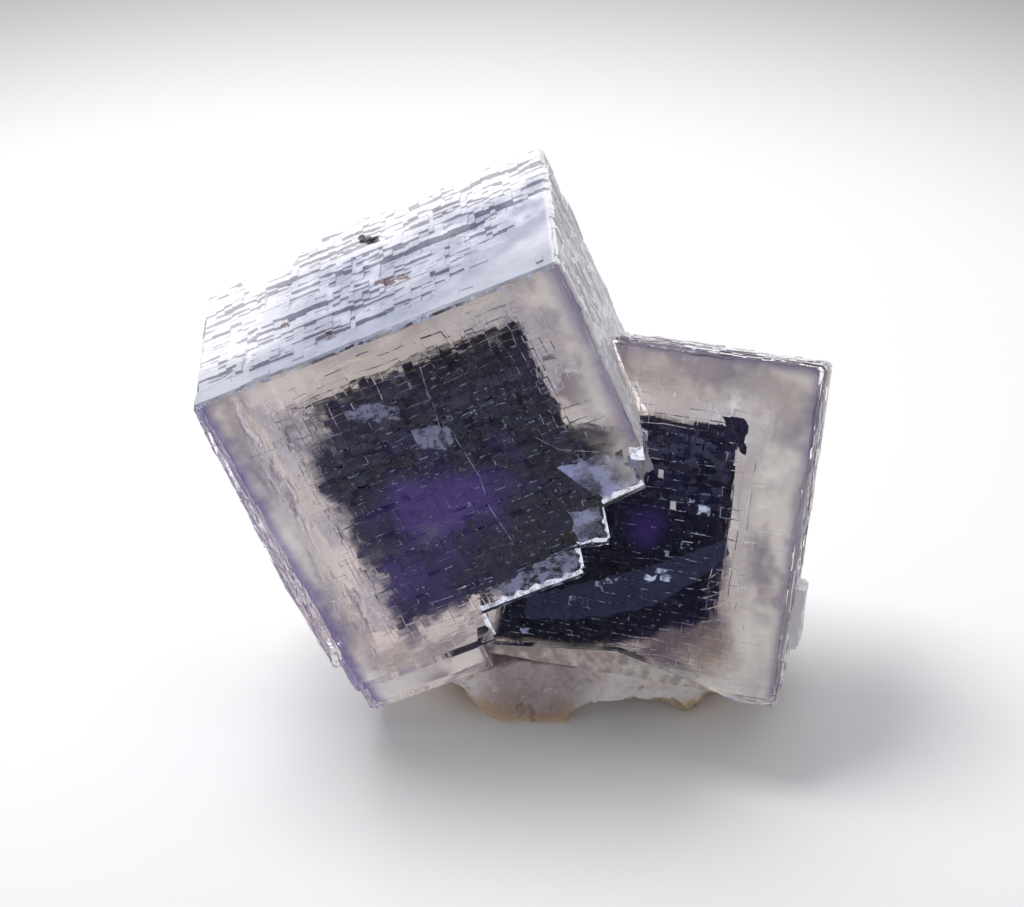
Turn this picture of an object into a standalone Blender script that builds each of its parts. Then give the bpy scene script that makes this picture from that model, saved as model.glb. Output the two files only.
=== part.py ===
"""Fluorite: two cubes grown through each other, on the broken stone that they grew on.

Metres, +Z up. The origin is on the surface that the specimen rests on, under the middle of its box.
"""

import math
import random

import bmesh
import bpy
import numpy as np
from mathutils import Euler, Matrix, Vector, noise

# A cube's own axes run right, back and up along its edges, from its lower front left corner
BIG_SIZE = (0.0360, 0.0252, 0.0392)
BIG_CORNER = (-0.01489, -0.01071, 0.00151)
BIG_TURN_DEG = (1.14, -22.87, 2.30)
SMALL_SIZE = (0.0293, 0.0180, 0.0327)
SMALL_CORNER = (-0.00444, -0.01041, 0.00911)
SMALL_TURN_DEG = (-23.74, 1.46, -14.73)

BEVEL = 0.0006  # narrow bevel along the edges of both cubes
WALL = 0.00012  # how far a growth step leans
BIG_BLOCK = 0.0026  # usual side of one growth block
SMALL_BLOCK = 0.0030
BLOCK_SPREAD = 0.4  # how uneven the blocks are
STEP_RISE = 0.00016  # height of one growth step
MOST_STEPS = 2  # steps that a block may stand out or in
BIG_PLATES = (22, 26, 40)  # growth plates on the sides, on the front and back, on the top
SMALL_PLATES = (16, 20, 16)

# The big cube's left side bellies out below its middle: (up, out)
LEFT_BELLY = ((0.0066, 0.0007), (0.0170, 0.0009), (0.0380, 0.0))
# The small cube narrows towards its back, and has a lump low on its right side at the back
SMALL_NARROWS = (0.0009, 0.0, 0.0007)
LUMP_OUT = 0.0009
LUMP_FROM_BACK = 0.0090
LUMP_HEIGHTS = (0.0040, 0.0100)

# The big cube's front plate ends in steps at its lower right: (right, up) from the front left corner
PLATE_STEPS = (
    (0.0131, -0.0010),
    (0.0131, 0.0040),
    (0.0150, 0.0040),
    (0.0150, 0.0074),
    (0.0256, 0.0074),
    (0.0262, 0.0106),
    (0.0291, 0.0098),
    (0.0300, 0.0138),
    (0.0345, 0.0142),
    (0.0345, 0.0166),
    (0.0336, 0.0172),
    (0.0338, 0.0180),
    (0.0370, 0.0186),
    (0.0370, -0.0010),
)
PLATE_DEPTH = 0.0050
HEEL = ((-0.0030, 0.0039), (0.0134, 0.0039), (0.0134, -0.0010), (-0.0030, -0.0010))  # broken back
HEEL_DEPTH = 0.0018
CLEAR = 0.0020  # how far a cutter reaches out of the face that it cuts

# The big cube's top ends in a ragged line at the back: (right, back)
RAGGED_BACK = (
    (-0.0020, 0.0222),
    (0.0036, 0.0226),
    (0.0042, 0.0206),
    (0.0050, 0.0186),
    (0.0066, 0.0182),
    (0.0076, 0.0208),
    (0.0094, 0.0216),
    (0.0104, 0.0234),
    (0.0142, 0.0240),
    (0.0158, 0.0256),
    (0.0290, 0.0258),
    (0.0300, 0.0248),
    (0.0380, 0.0249),
    (0.0380, 0.0290),
    (-0.0020, 0.0290),
)
RAGGED_DROP = 0.0062

# The small cube's upper right corner has a shallow shell-shaped break
SHELL_RADIUS = 0.0350
SHELL_CENTRE = (0.0306, 0.0337)
SHELL_REACH = 0.0128
FOOT_BREAK = ((-0.0010, 0.0012), (0.0135, 0.0029), (0.0205, 0.0014), (0.0270, -0.0004), (0.0270, -0.0020),
              (-0.0010, -0.0020))
FOOT_BREAK_DEPTH = 0.0030

# Stone under both cubes
STONE_LOW = (-0.0095, -0.0087, -0.0010)
STONE_HIGH = (0.0227, 0.0139, 0.0150)
STONE_CUTS = 11
STONE_ROUNDING = 0.16
STONE_ROUGH = 0.0013
STONE_GRAIN = 0.0052
STONE_CHIP_ROUGH = 0.00043
STONE_CHIP = 0.0019
FLOOR_REACH = 0.05
ARCH_CENTRE = (0.0107, -0.0097, 0.0)
ARCH_RADII = (0.0064, 0.0052, 0.0030)
GAP = 0.0003  # between the stone and the cubes
SEED = 11


def clear_scene():
    for item in list(bpy.data.objects):
        bpy.data.objects.remove(item, do_unlink=True)


def material(name, colour, roughness, transmission=0.0, ior=1.5):
    made = bpy.data.materials.new(name)
    made.use_nodes = True
    shader = made.node_tree.nodes["Principled BSDF"]
    shader.inputs["Base Color"].default_value = (*colour, 1.0)
    shader.inputs["Roughness"].default_value = roughness
    shader.inputs["Transmission Weight"].default_value = transmission
    shader.inputs["IOR"].default_value = ior
    made.diffuse_color = (*colour, 1.0)
    return made


def add_object(name, bm, finish=None):
    bmesh.ops.recalc_face_normals(bm, faces=bm.faces)
    mesh = bpy.data.meshes.new(name)
    bm.to_mesh(mesh)
    bm.free()
    made = bpy.data.objects.new(name, mesh)
    bpy.context.scene.collection.objects.link(made)
    if finish:
        mesh.materials.append(finish)
    return made


def helper(made):
    """Hides a shape that only cuts or joins another."""
    made.hide_render = True
    made.display_type = "WIRE"
    return made


def boolean(target, other, operation):
    step = target.modifiers.new(f"{operation} {other.name}", "BOOLEAN")
    step.operation = operation
    step.object = other
    step.solver = "EXACT"


def placed(made, corner, turn_deg):
    made.location = corner
    made.rotation_euler = Euler([math.radians(angle) for angle in turn_deg])
    return made


def block_lines(length, block, rng):
    """Edges of the growth blocks along one edge of a cube: a bevel, blocks of uneven width, a bevel."""
    count = round((length - 2 * BEVEL) / block)
    widths = [rng.uniform(1 - BLOCK_SPREAD, 1 + BLOCK_SPREAD) for _ in range(count)]
    scale = (length - 2 * BEVEL) / sum(widths)
    lines = [0.0, BEVEL]
    for width in widths:
        lines.append(lines[-1] + width * scale)
    return [*lines, length]


def doubled(lines):
    """Two close positions for each inner line, so that the step between two blocks is a wall."""
    spots = [lines[0]]
    for line in lines[1:-1]:
        spots += [line - WALL / 2, line + WALL / 2]
    return [*spots, lines[-1]]


def growth_levels(columns, rows, rng, patches):
    """A height for each block of a face: long plates laid over each other in steps."""
    most = MOST_STEPS * STEP_RISE
    heights = [[0.0] * rows for _ in range(columns)]
    for _ in range(patches):
        left, low = rng.randrange(columns), rng.randrange(rows)
        right, high = left + rng.randint(1, columns // 2), low + rng.randint(1, 3)
        rise = rng.choice((-1, 1)) * STEP_RISE
        for column in range(left, min(right, columns)):
            for row in range(low, min(high, rows)):
                heights[column][row] = max(-most, min(most, heights[column][row] + rise))
    return heights


def lattice_box(lines, levels):
    """A closed box with a grid of blocks on each face, each block moved out by its own height."""
    spots = [doubled(axis_lines) for axis_lines in lines]
    bm = bmesh.new()
    for axis in range(3):
        across, along = [other for other in range(3) if other != axis]
        columns, rows = len(spots[across]) - 1, len(spots[along]) - 1
        for end in (0, len(spots[axis]) - 1):
            grid = bmesh.ops.create_grid(bm, x_segments=columns, y_segments=rows, size=0.5)
            for vert in grid["verts"]:
                index = [0, 0, 0]
                index[axis] = end
                index[across] = round((vert.co.x + 0.5) * columns)
                index[along] = round((vert.co.y + 0.5) * rows)
                vert.co = index
    bmesh.ops.remove_doubles(bm, verts=bm.verts, dist=0.1)
    for vert in bm.verts:
        index = [round(value) for value in vert.co]
        spot = [spots[axis][index[axis]] for axis in range(3)]
        ends = [axis for axis in range(3) if index[axis] in (0, len(spots[axis]) - 1)]
        for axis in ends:
            across, along = [other for other in range(3) if other != axis]
            heights = levels[axis, index[axis] > 0]
            column = min(max(index[across] // 2, 1), len(heights) - 2)
            row = min(max(index[along] // 2, 1), len(heights[0]) - 2)
            out = heights[column][row] - (BEVEL / 2 if len(ends) > 1 else 0)
            spot[axis] += out if index[axis] > 0 else -out
        vert.co = spot
    return bm


def stepped_cube(size, block, rng, plates):
    """The block lines of a cube and the heights of its blocks; its underside stays flat."""
    lines = [block_lines(length, block, rng) for length in size]
    levels = {}
    for axis in range(3):
        across, along = [other for other in range(3) if other != axis]
        columns, rows = len(lines[across]) - 1, len(lines[along]) - 1
        for side in (False, True):
            underside = axis == 2 and not side
            levels[axis, side] = growth_levels(columns, rows, rng, 0 if underside else plates[axis])
    return lines, levels


def prism(name, outline, start, stop, axis):
    """A closed block: an outline drawn on two axes and run along the third, from start to stop."""
    across, along = [other for other in range(3) if other != axis]
    bm = bmesh.new()
    corners = []
    for first, second in outline:
        spot = [0.0, 0.0, 0.0]
        spot[axis], spot[across], spot[along] = start, first, second
        corners.append(bm.verts.new(spot))
    face = bm.faces.new(corners)
    grown = bmesh.ops.extrude_face_region(bm, geom=[face])
    move = [0.0, 0.0, 0.0]
    move[axis] = stop - start
    moved = [item for item in grown["geom"] if isinstance(item, bmesh.types.BMVert)]
    bmesh.ops.translate(bm, vec=move, verts=moved)
    return helper(add_object(name, bm))


def shell_break():
    """The ball whose skin is the shell-shaped break in the small cube's corner."""
    bm = bmesh.new()
    bmesh.ops.create_icosphere(bm, subdivisions=5, radius=SHELL_RADIUS)
    back = math.sqrt(SHELL_RADIUS**2 - SHELL_REACH**2)
    bmesh.ops.translate(bm, vec=(SHELL_CENTRE[0], -back, SHELL_CENTRE[1]), verts=bm.verts)
    return helper(add_object("shell_break", bm))


def big_cube(rng):
    lines, levels = stepped_cube(BIG_SIZE, BIG_BLOCK, rng, BIG_PLATES)
    heights, outs = zip(*LEFT_BELLY)
    for column in levels[0, False]:
        for row, low in enumerate(lines[2][:-1]):
            if low > heights[0]:
                column[row] += float(np.interp(low, heights, outs))
    return lattice_box(lines, levels)


def small_cube(rng):
    lines, levels = stepped_cube(SMALL_SIZE, SMALL_BLOCK, rng, SMALL_PLATES)
    for near, column in zip(lines[1], levels[0, True]):
        for row, low in enumerate(lines[2][:-1]):
            if near > LUMP_FROM_BACK and LUMP_HEIGHTS[0] < low < LUMP_HEIGHTS[1]:
                column[row] += LUMP_OUT
    bm = lattice_box(lines, levels)
    for vert in bm.verts:
        towards_back = vert.co.y / SMALL_SIZE[1]
        for axis in (0, 2):
            vert.co[axis] -= SMALL_NARROWS[axis] * towards_back * vert.co[axis] / SMALL_SIZE[axis]
    return bm


def fluorite_cubes():
    rng = random.Random(SEED)
    finish = material("fluorite", (0.80, 0.74, 0.80), 0.08, transmission=1.0, ior=1.434)
    crystals = placed(add_object("fluorite_cubes", big_cube(rng), finish), BIG_CORNER, BIG_TURN_DEG)
    top = BIG_SIZE[2]
    for name, outline, start, stop, axis in (
        ("plate_steps", PLATE_STEPS, -CLEAR, PLATE_DEPTH, 1),
        ("heel", HEEL, -CLEAR, HEEL_DEPTH, 1),
        ("ragged_back", RAGGED_BACK, top - RAGGED_DROP, top + CLEAR, 2),
    ):
        cutter = prism(name, outline, start, stop, axis)
        boolean(crystals, placed(cutter, BIG_CORNER, BIG_TURN_DEG), "DIFFERENCE")
    small = helper(placed(add_object("small_cube", small_cube(rng)), SMALL_CORNER, SMALL_TURN_DEG))
    boolean(small, placed(shell_break(), SMALL_CORNER, SMALL_TURN_DEG), "DIFFERENCE")
    foot = prism("foot_break", FOOT_BREAK, -CLEAR, FOOT_BREAK_DEPTH, 1)
    boolean(small, placed(foot, SMALL_CORNER, SMALL_TURN_DEG), "DIFFERENCE")
    boolean(crystals, small, "UNION")
    return crystals


def room_for(name, size, corner, turn_deg):
    """A plain box a gap larger than a cube, which clears the stone round it."""
    bm = bmesh.new()
    bmesh.ops.create_cube(bm, size=1.0)
    spare = MOST_STEPS * STEP_RISE + GAP
    for vert in bm.verts:
        for axis in range(3):
            clear = GAP if axis == 2 and vert.co[axis] < 0 else spare
            vert.co[axis] = size[axis] + clear if vert.co[axis] > 0 else -clear
    return placed(helper(add_object(name, bm)), corner, turn_deg)


def matrix_base():
    """Rough stone: a box with its faces broken up, cut flat below, with room for the cubes and an arch."""
    bm = bmesh.new()
    bmesh.ops.create_cube(bm, size=1.0)
    bmesh.ops.subdivide_edges(bm, edges=bm.edges, cuts=STONE_CUTS, use_grid_fill=True)
    middle = (Vector(STONE_LOW) + Vector(STONE_HIGH)) / 2
    size = Vector(STONE_HIGH) - Vector(STONE_LOW)
    for vert in bm.verts:
        corner = Vector([2 * value for value in vert.co])
        cornered = abs(corner.x * corner.y) ** 3 + abs(corner.z * corner.x) ** 3
        rounded = corner * (1 - STONE_ROUNDING * cornered)
        spot = middle + Vector([rounded[axis] * size[axis] / 2 for axis in range(3)])
        coarse = noise.noise_vector(spot / STONE_GRAIN) * STONE_ROUGH
        fine = noise.noise_vector(spot / STONE_CHIP) * STONE_CHIP_ROUGH
        vert.co = spot + coarse + fine
    stone = add_object("matrix_base", bm, material("matrix stone", (0.62, 0.48, 0.42), 0.7))
    below = ((-FLOOR_REACH, -FLOOR_REACH), (FLOOR_REACH, -FLOOR_REACH), (FLOOR_REACH, FLOOR_REACH),
             (-FLOOR_REACH, FLOOR_REACH))
    boolean(stone, prism("below_floor", below, -FLOOR_REACH, 0.0, 2), "DIFFERENCE")
    arch = bmesh.new()
    bmesh.ops.create_icosphere(arch, subdivisions=3, radius=1.0)
    bmesh.ops.transform(arch, matrix=Matrix.Translation(ARCH_CENTRE) @ Matrix.Diagonal((*ARCH_RADII, 1)),
                        verts=arch.verts)
    boolean(stone, helper(add_object("arch", arch)), "DIFFERENCE")
    boolean(stone, room_for("big_room", BIG_SIZE, BIG_CORNER, BIG_TURN_DEG), "DIFFERENCE")
    boolean(stone, room_for("small_room", SMALL_SIZE, SMALL_CORNER, SMALL_TURN_DEG), "DIFFERENCE")
    return stone


def main():
    clear_scene()
    noise.seed_set(SEED)
    fluorite_cubes()
    matrix_base()


main()
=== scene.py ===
import math

import bmesh
import bpy
import numpy as np
from mathutils import Euler, Matrix, Vector, noise


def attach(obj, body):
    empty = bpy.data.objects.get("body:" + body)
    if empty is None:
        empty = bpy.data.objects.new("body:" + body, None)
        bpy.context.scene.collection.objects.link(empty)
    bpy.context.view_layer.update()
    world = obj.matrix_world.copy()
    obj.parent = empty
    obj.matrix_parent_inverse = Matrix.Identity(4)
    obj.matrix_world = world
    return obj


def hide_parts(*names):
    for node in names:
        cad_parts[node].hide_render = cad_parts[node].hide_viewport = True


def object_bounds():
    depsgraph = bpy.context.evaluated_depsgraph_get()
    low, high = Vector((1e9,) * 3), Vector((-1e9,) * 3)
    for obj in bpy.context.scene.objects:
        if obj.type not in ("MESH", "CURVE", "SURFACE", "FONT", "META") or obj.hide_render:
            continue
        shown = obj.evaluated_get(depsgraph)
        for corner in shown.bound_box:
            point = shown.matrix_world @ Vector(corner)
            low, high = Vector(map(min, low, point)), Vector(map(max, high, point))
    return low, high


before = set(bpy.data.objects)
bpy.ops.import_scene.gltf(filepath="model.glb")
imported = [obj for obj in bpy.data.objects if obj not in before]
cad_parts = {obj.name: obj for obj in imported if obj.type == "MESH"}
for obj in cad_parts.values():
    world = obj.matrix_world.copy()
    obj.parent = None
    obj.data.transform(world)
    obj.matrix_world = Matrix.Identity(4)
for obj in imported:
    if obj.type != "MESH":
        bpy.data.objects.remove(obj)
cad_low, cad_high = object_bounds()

# The picture: 1024 x 907, camera 30 degrees above the level, as the photograph was taken
PICTURE_WIDTH = 1024
FOCAL_PIXELS = 2300
SENSOR_MM = 36.0
CAMERA_PLACE = (-0.00107, -0.19411, 0.13800)
CAMERA_DOWN_DEG = 30.0

# Each cube's own axes run right, back and up along its edges, from its lower front left corner
BIG_SIZE = (0.0360, 0.0252, 0.0392)
BIG_CORNER = (-0.01489, -0.01071, 0.00151)
BIG_TURN_DEG = (1.14, -22.87, 2.30)
SMALL_SIZE = (0.0293, 0.0180, 0.0327)
SMALL_CORNER = (-0.00444, -0.01041, 0.00911)
SMALL_TURN_DEG = (-23.74, 1.46, -14.73)
SMALL_NARROWS = (0.0009, 0.0, 0.0007)
BIG, SMALL = 0, 1

# The big cube's left side bulges a little, and the small cube has a lump low at the back of its right side
BELLY_HEIGHTS = (0.0065, 0.0066, 0.0170, 0.0380)
BELLY_OUT = (0.0, 0.0007, 0.0009, 0.0)
LUMP_OUT = 0.0009
LUMP_FROM_BACK = 0.0090
LUMP_HEIGHTS = (0.0040, 0.0100)

BEVEL = 0.00042  # narrow bevel along the cubes' edges
WALL = 0.00007  # how far a growth step leans
BLOCK = 0.00078  # usual side of one growth block
WARP = 0.00010  # how far the blocks' lines wander
WARP_SCALE = 0.006
FINE_WARP = 0.00016
FINE_SCALE = 0.0016

FLUORITE_IOR = 1.434
BOX_MARGIN = 0.00006  # how far the crystal stays inside the CAD model's box

# A cube's sides: the axis that each one faces along, and whether it is at that axis's far end
LEFT, RIGHT, FRONT, BACK, BELOW, TOP = (0, False), (0, True), (1, False), (1, True), (2, False), (2, True)


def matrix_of(corner, turn_deg):
    return Matrix.Translation(corner) @ Euler([math.radians(a) for a in turn_deg]).to_matrix().to_4x4()


noise.seed_set(7)
BIG_MATRIX = matrix_of(BIG_CORNER, BIG_TURN_DEG)
SMALL_MATRIX = matrix_of(SMALL_CORNER, SMALL_TURN_DEG)


def others(axis):
    return [a for a in range(3) if a != axis]


def add_piece(name, bm, finish, body="root"):
    mesh = bpy.data.meshes.new(name)
    bm.to_mesh(mesh)
    bm.free()
    piece = bpy.data.objects.new(name, mesh)
    bpy.context.scene.collection.objects.link(piece)
    if finish:
        mesh.materials.append(finish)
        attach(piece, body)
    return piece


def with_modifiers(piece):
    """The piece's mesh as its modifiers leave it."""
    bpy.context.view_layer.update()
    graph = bpy.context.evaluated_depsgraph_get()
    return bpy.data.meshes.new_from_object(piece.evaluated_get(graph))


def joined(bm, others_bm, operation):
    """The first mesh less the others, or grown together with them, worked out in millimetres."""
    pieces = []
    for index, part in enumerate((bm, *others_bm)):
        part.transform(Matrix.Scale(1000, 4))
        pieces.append(add_piece(f"rough_{index}", part, None))
    for other in pieces[1:]:
        step = pieces[0].modifiers.new(other.name, "BOOLEAN")
        step.operation = operation
        step.object = other
        step.solver = "FAST"
    made = bmesh.new()
    made.from_mesh(with_modifiers(pieces[0]))
    for piece in pieces:
        bpy.data.objects.remove(piece)
    made.transform(Matrix.Scale(0.001, 4))
    return made


# Growth blocks

def block_lines(length, block, rng):
    """Where the lines between uneven blocks cross an edge, with a bevel at both its ends."""
    count = round((length - 2 * BEVEL) / block)
    widths = rng.uniform(0.55, 1.45, count)
    inner = BEVEL + np.cumsum(widths) * (length - 2 * BEVEL) / widths.sum()
    return np.concatenate([[0.0, BEVEL], inner, [length]])


def doubled(lines):
    """Two close positions for each inner line, so that the step between two blocks is a wall."""
    inner = np.stack([lines[1:-1] - WALL / 2, lines[1:-1] + WALL / 2], axis=1).ravel()
    return np.concatenate([lines[:1], inner, lines[-1:]])


def lay_plates(heights, rng, count, wide, high, rise, most, where=None):
    """Lays plates of whole blocks over each other on a face, each one step up or down."""
    columns, rows = heights.shape
    for _ in range(count):
        left, low = rng.integers(columns), rng.integers(rows)
        if where is not None and rng.random() > where(left / columns, low / rows):
            continue
        right, top = left + rng.integers(wide[0], wide[1] + 1), low + rng.integers(high[0], high[1] + 1)
        patch = heights[left:right, low:top]
        patch += rng.choice((-1.0, 1.0)) * rise * rng.uniform(0.5, 1.5)
        np.clip(patch, -most, most, out=patch)


def lattice_box(lines, heights, tilts):
    """A closed box with a grid of blocks on each face, each block at its own height and tilt."""
    spots = [doubled(axis_lines) for axis_lines in lines]
    bm = bmesh.new()
    for axis in range(3):
        across, along = others(axis)
        columns, rows = len(spots[across]) - 1, len(spots[along]) - 1
        for end in (0, len(spots[axis]) - 1):
            grid = bmesh.ops.create_grid(bm, x_segments=columns, y_segments=rows, size=0.5)
            for vert in grid["verts"]:
                index = [0, 0, 0]
                index[axis] = end
                index[across] = round((vert.co.x + 0.5) * columns)
                index[along] = round((vert.co.y + 0.5) * rows)
                vert.co = index
    bmesh.ops.remove_doubles(bm, verts=bm.verts, dist=0.1)
    for vert in bm.verts:
        index = [round(value) for value in vert.co]
        spot = Vector([spots[axis][index[axis]] for axis in range(3)])
        ends = [axis for axis in range(3) if index[axis] in (0, len(spots[axis]) - 1)]
        for axis in ends:
            across, along = others(axis)
            face = axis, index[axis] > 0
            levels = heights[face]
            column = min(max(index[across] // 2, 1), levels.shape[0] - 2)
            row = min(max(index[along] // 2, 1), levels.shape[1] - 2)
            out = levels[column, row]
            if len(ends) == 1:
                out += (index[across] % 2 - 0.5) * tilts[face][0][column, row]
                out += (index[along] % 2 - 0.5) * tilts[face][1][column, row]
            else:
                chip = 0.46 + 0.22 * max(0.0, noise.noise(spot * 900)) if len(ends) == 2 else 0.62
                out -= BEVEL * chip
            spot[axis] += out if index[axis] > 0 else -out
        wander = noise.noise_vector(spot / WARP_SCALE) * WARP
        wander += noise.noise_vector(spot / FINE_SCALE) * FINE_WARP
        for axis in ends:
            wander[axis] *= 0.25
        vert.co = spot + wander
    bmesh.ops.recalc_face_normals(bm, faces=bm.faces)
    return bm


def face_shape(lines, axis):
    """How many columns and rows of blocks the two faces across an axis have."""
    across, along = others(axis)
    return len(lines[across]) - 1, len(lines[along]) - 1


def level_faces(lines, rng, tilt):
    """Level heights and slight random tilts for the blocks of all six faces."""
    heights, tilts = {}, {}
    for axis in range(3):
        for side in (False, True):
            shape = face_shape(lines, axis)
            heights[axis, side] = np.zeros(shape)
            tilts[axis, side] = rng.normal(0, tilt, shape), rng.normal(0, tilt, shape)
    return heights, tilts


# The two cubes, each face covered with growth blocks

FRONT_RISE = 0.000050  # height of one growth step
TOP_RISE = 0.00014
SIDE_RISE = 0.00006


def front_cover(right, up):
    """Blocks crowd over the dark heart and the lower left, and thin out towards the top corners."""
    over_heart = 1.0 - max(abs(right - 0.50) - 0.31, 0) * 22 - max(abs(up - 0.54) - 0.34, 0) * 14
    return max(over_heart, 0.22 * (up < 0.45 and right < 0.30), 0.008)


def top_cover(right, back):
    """The top is broken into plates, but smooth along its front edge and at the front right corner."""
    return 1.0 if back > 0.12 + 0.55 * max(right - 0.62, 0) / 0.38 else 0.06


def over_face(cover, shape):
    """The cover at each block of a face."""
    columns, rows = shape
    return np.array([[cover(column / columns, row / rows) for row in range(rows)]
                     for column in range(columns)])


def big_cube():
    rng = np.random.default_rng(5)
    lines = [block_lines(length, BLOCK, rng) for length in BIG_SIZE]
    heights, tilts = level_faces(lines, rng, 0.000010)
    front = heights[FRONT]
    lay_plates(front, rng, 10, (6, 14), (3, 8), FRONT_RISE, 0.00016, front_cover)
    lay_plates(front, rng, 260, (2, 5), (1, 2), FRONT_RISE, 0.00022, front_cover)
    lay_plates(front, rng, 1900, (1, 2), (1, 1), FRONT_RISE, 0.00022, front_cover)
    crowd = over_face(front_cover, front.shape)
    tilts[FRONT] = tuple(rng.normal(0, 0.00004, front.shape) * crowd for _ in range(2))
    top = heights[TOP]
    lay_plates(top, rng, 90, (4, 14), (2, 6), TOP_RISE, 0.00036, top_cover)
    lay_plates(top, rng, 150, (2, 6), (1, 3), TOP_RISE, 0.00036, top_cover)
    lay_plates(top, rng, 160, (1, 2), (1, 1), TOP_RISE, 0.00036, top_cover)
    rough = over_face(top_cover, top.shape)
    tilts[TOP] = rng.normal(0, 0.00003, top.shape) * rough, rng.normal(-0.00005, 0.00004, top.shape) * rough
    for face in (LEFT, RIGHT, BACK, BELOW):
        rise = SIDE_RISE * (0.4 if face in (LEFT, BELOW) else 1.0)
        lay_plates(heights[face], rng, 30, (3, 12), (5, 20), rise, 0.00022)
        lay_plates(heights[face], rng, 500, (1, 3), (1, 6), rise, 0.00022)
    rows = lines[2][:-1]
    belly = np.interp(rows, BELLY_HEIGHTS, BELLY_OUT)
    heights[LEFT] += np.where(rows < BELLY_HEIGHTS[1], 0.0, belly)
    bm = lattice_box(lines, heights, tilts)
    bm.transform(BIG_MATRIX)
    return bm


def small_cover(right, up):
    """Blocks crowd over the small cube's dark heart."""
    return 1.0 if 0.02 < right < 0.77 and 0.10 < up < 0.80 else 0.12


def narrowed(bm):
    """The small cube grows narrower towards its back, at its right side and at its top."""
    for vert in bm.verts:
        towards_back = vert.co.y / SMALL_SIZE[1]
        for axis in (0, 2):
            vert.co[axis] -= SMALL_NARROWS[axis] * towards_back * vert.co[axis] / SMALL_SIZE[axis]


def small_cube():
    rng = np.random.default_rng(9)
    lines = [block_lines(length, BLOCK * 1.08, rng) for length in SMALL_SIZE]
    heights, tilts = level_faces(lines, rng, 0.000008)
    front = heights[FRONT]
    lay_plates(front, rng, 10, (6, 18), (4, 14), FRONT_RISE, 0.00016)
    lay_plates(front, rng, 300, (1, 5), (1, 4), FRONT_RISE, 0.00016, small_cover)
    lay_plates(front, rng, 900, (1, 2), (1, 2), FRONT_RISE, 0.00016, small_cover)
    for face in (LEFT, RIGHT, BACK, BELOW, TOP):
        rise = SIDE_RISE * (0.3 if face == BELOW else 1.0)
        lay_plates(heights[face], rng, 24, (3, 12), (5, 14), rise, 0.0002)
        lay_plates(heights[face], rng, 300, (1, 3), (1, 5), rise, 0.0002)
    near, low = lines[1][:-1][:, None], lines[2][:-1][None, :]
    in_lump = (near > LUMP_FROM_BACK) & (low > LUMP_HEIGHTS[0]) & (low < LUMP_HEIGHTS[1])
    heights[RIGHT] += LUMP_OUT * in_lump
    bm = lattice_box(lines, heights, tilts)
    narrowed(bm)
    bm.transform(SMALL_MATRIX)
    return bm


# Breaks and ledges, drawn on two of a cube's axes and cut along the third

CLEAR = 0.0020  # how far a cutter reaches out of the face that it cuts
LEDGE_STEPS = (
    (0.0131, -0.0010), (0.0131, 0.0040), (0.0150, 0.0040), (0.0150, 0.0074), (0.0256, 0.0074),
    (0.0262, 0.0106), (0.0291, 0.0098), (0.0300, 0.0138), (0.0345, 0.0142), (0.0345, 0.0166),
    (0.0336, 0.0172), (0.0338, 0.0180), (0.0370, 0.0186), (0.0370, -0.0010),
)
LEDGE_DEPTH = 0.0050
HEEL = ((-0.0030, 0.0039), (0.0134, 0.0039), (0.0134, -0.0010), (-0.0030, -0.0010))
HEEL_DEPTH = 0.0018
RAGGED_BACK = (
    (-0.0020, 0.0222), (0.0036, 0.0226), (0.0042, 0.0206), (0.0050, 0.0186), (0.0066, 0.0182),
    (0.0076, 0.0208), (0.0094, 0.0216), (0.0104, 0.0234), (0.0142, 0.0240), (0.0158, 0.0256),
    (0.0290, 0.0258), (0.0300, 0.0248), (0.0380, 0.0249), (0.0380, 0.0290), (-0.0020, 0.0290),
)
RAGGED_DROP = 0.0062
FOOT_BREAK = ((-0.0010, 0.0012), (0.0135, 0.0029), (0.0205, 0.0014), (0.0270, -0.0004), (0.0270, -0.0020),
              (-0.0010, -0.0020))
FOOT_BREAK_DEPTH = 0.0030
SHELL_RADIUS = 0.0350
SHELL_CENTRE = (0.0306, 0.0337)
SHELL_REACH = 0.0128
SHELL_RIB = 0.0016  # from one rib of the shell break to the next
SHELL_RIB_RISE = 0.0028  # as a share of its radius


def prism(outline, start, stop, axis, matrix):
    """A block with the outline drawn on two axes, from start to stop along the third."""
    across, along = others(axis)
    bm = bmesh.new()
    corners = []
    for first, second in outline:
        spot = [0.0, 0.0, 0.0]
        spot[axis], spot[across], spot[along] = start, first, second
        corners.append(bm.verts.new(spot))
    face = bm.faces.new(corners)
    grown = bmesh.ops.extrude_face_region(bm, geom=[face])
    move = [0.0, 0.0, 0.0]
    move[axis] = stop - start
    far = [item for item in grown["geom"] if isinstance(item, bmesh.types.BMVert)]
    bmesh.ops.translate(bm, vec=move, verts=far)
    bmesh.ops.recalc_face_normals(bm, faces=bm.faces)
    bm.transform(matrix)
    return bm


def shell_break(deeper=0.0):
    """A ball with rings on its skin, which leaves a shell-shaped break."""
    bm = bmesh.new()
    bmesh.ops.create_icosphere(bm, subdivisions=6, radius=SHELL_RADIUS)
    for vert in bm.verts:
        ring = math.hypot(vert.co.x + 0.012, vert.co.z - 0.004)
        ripple = math.sin(ring * 2 * math.pi / SHELL_RIB + 3 * noise.noise(vert.co * 250))
        vert.co *= 1 + SHELL_RIB_RISE * ripple * max(noise.noise(vert.co * 120) + 0.4, 0)
    back = math.sqrt(SHELL_RADIUS**2 - SHELL_REACH**2)
    bmesh.ops.translate(bm, vec=(SHELL_CENTRE[0], deeper - back, SHELL_CENTRE[1]), verts=bm.verts)
    bm.transform(SMALL_MATRIX)
    return bm


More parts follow.
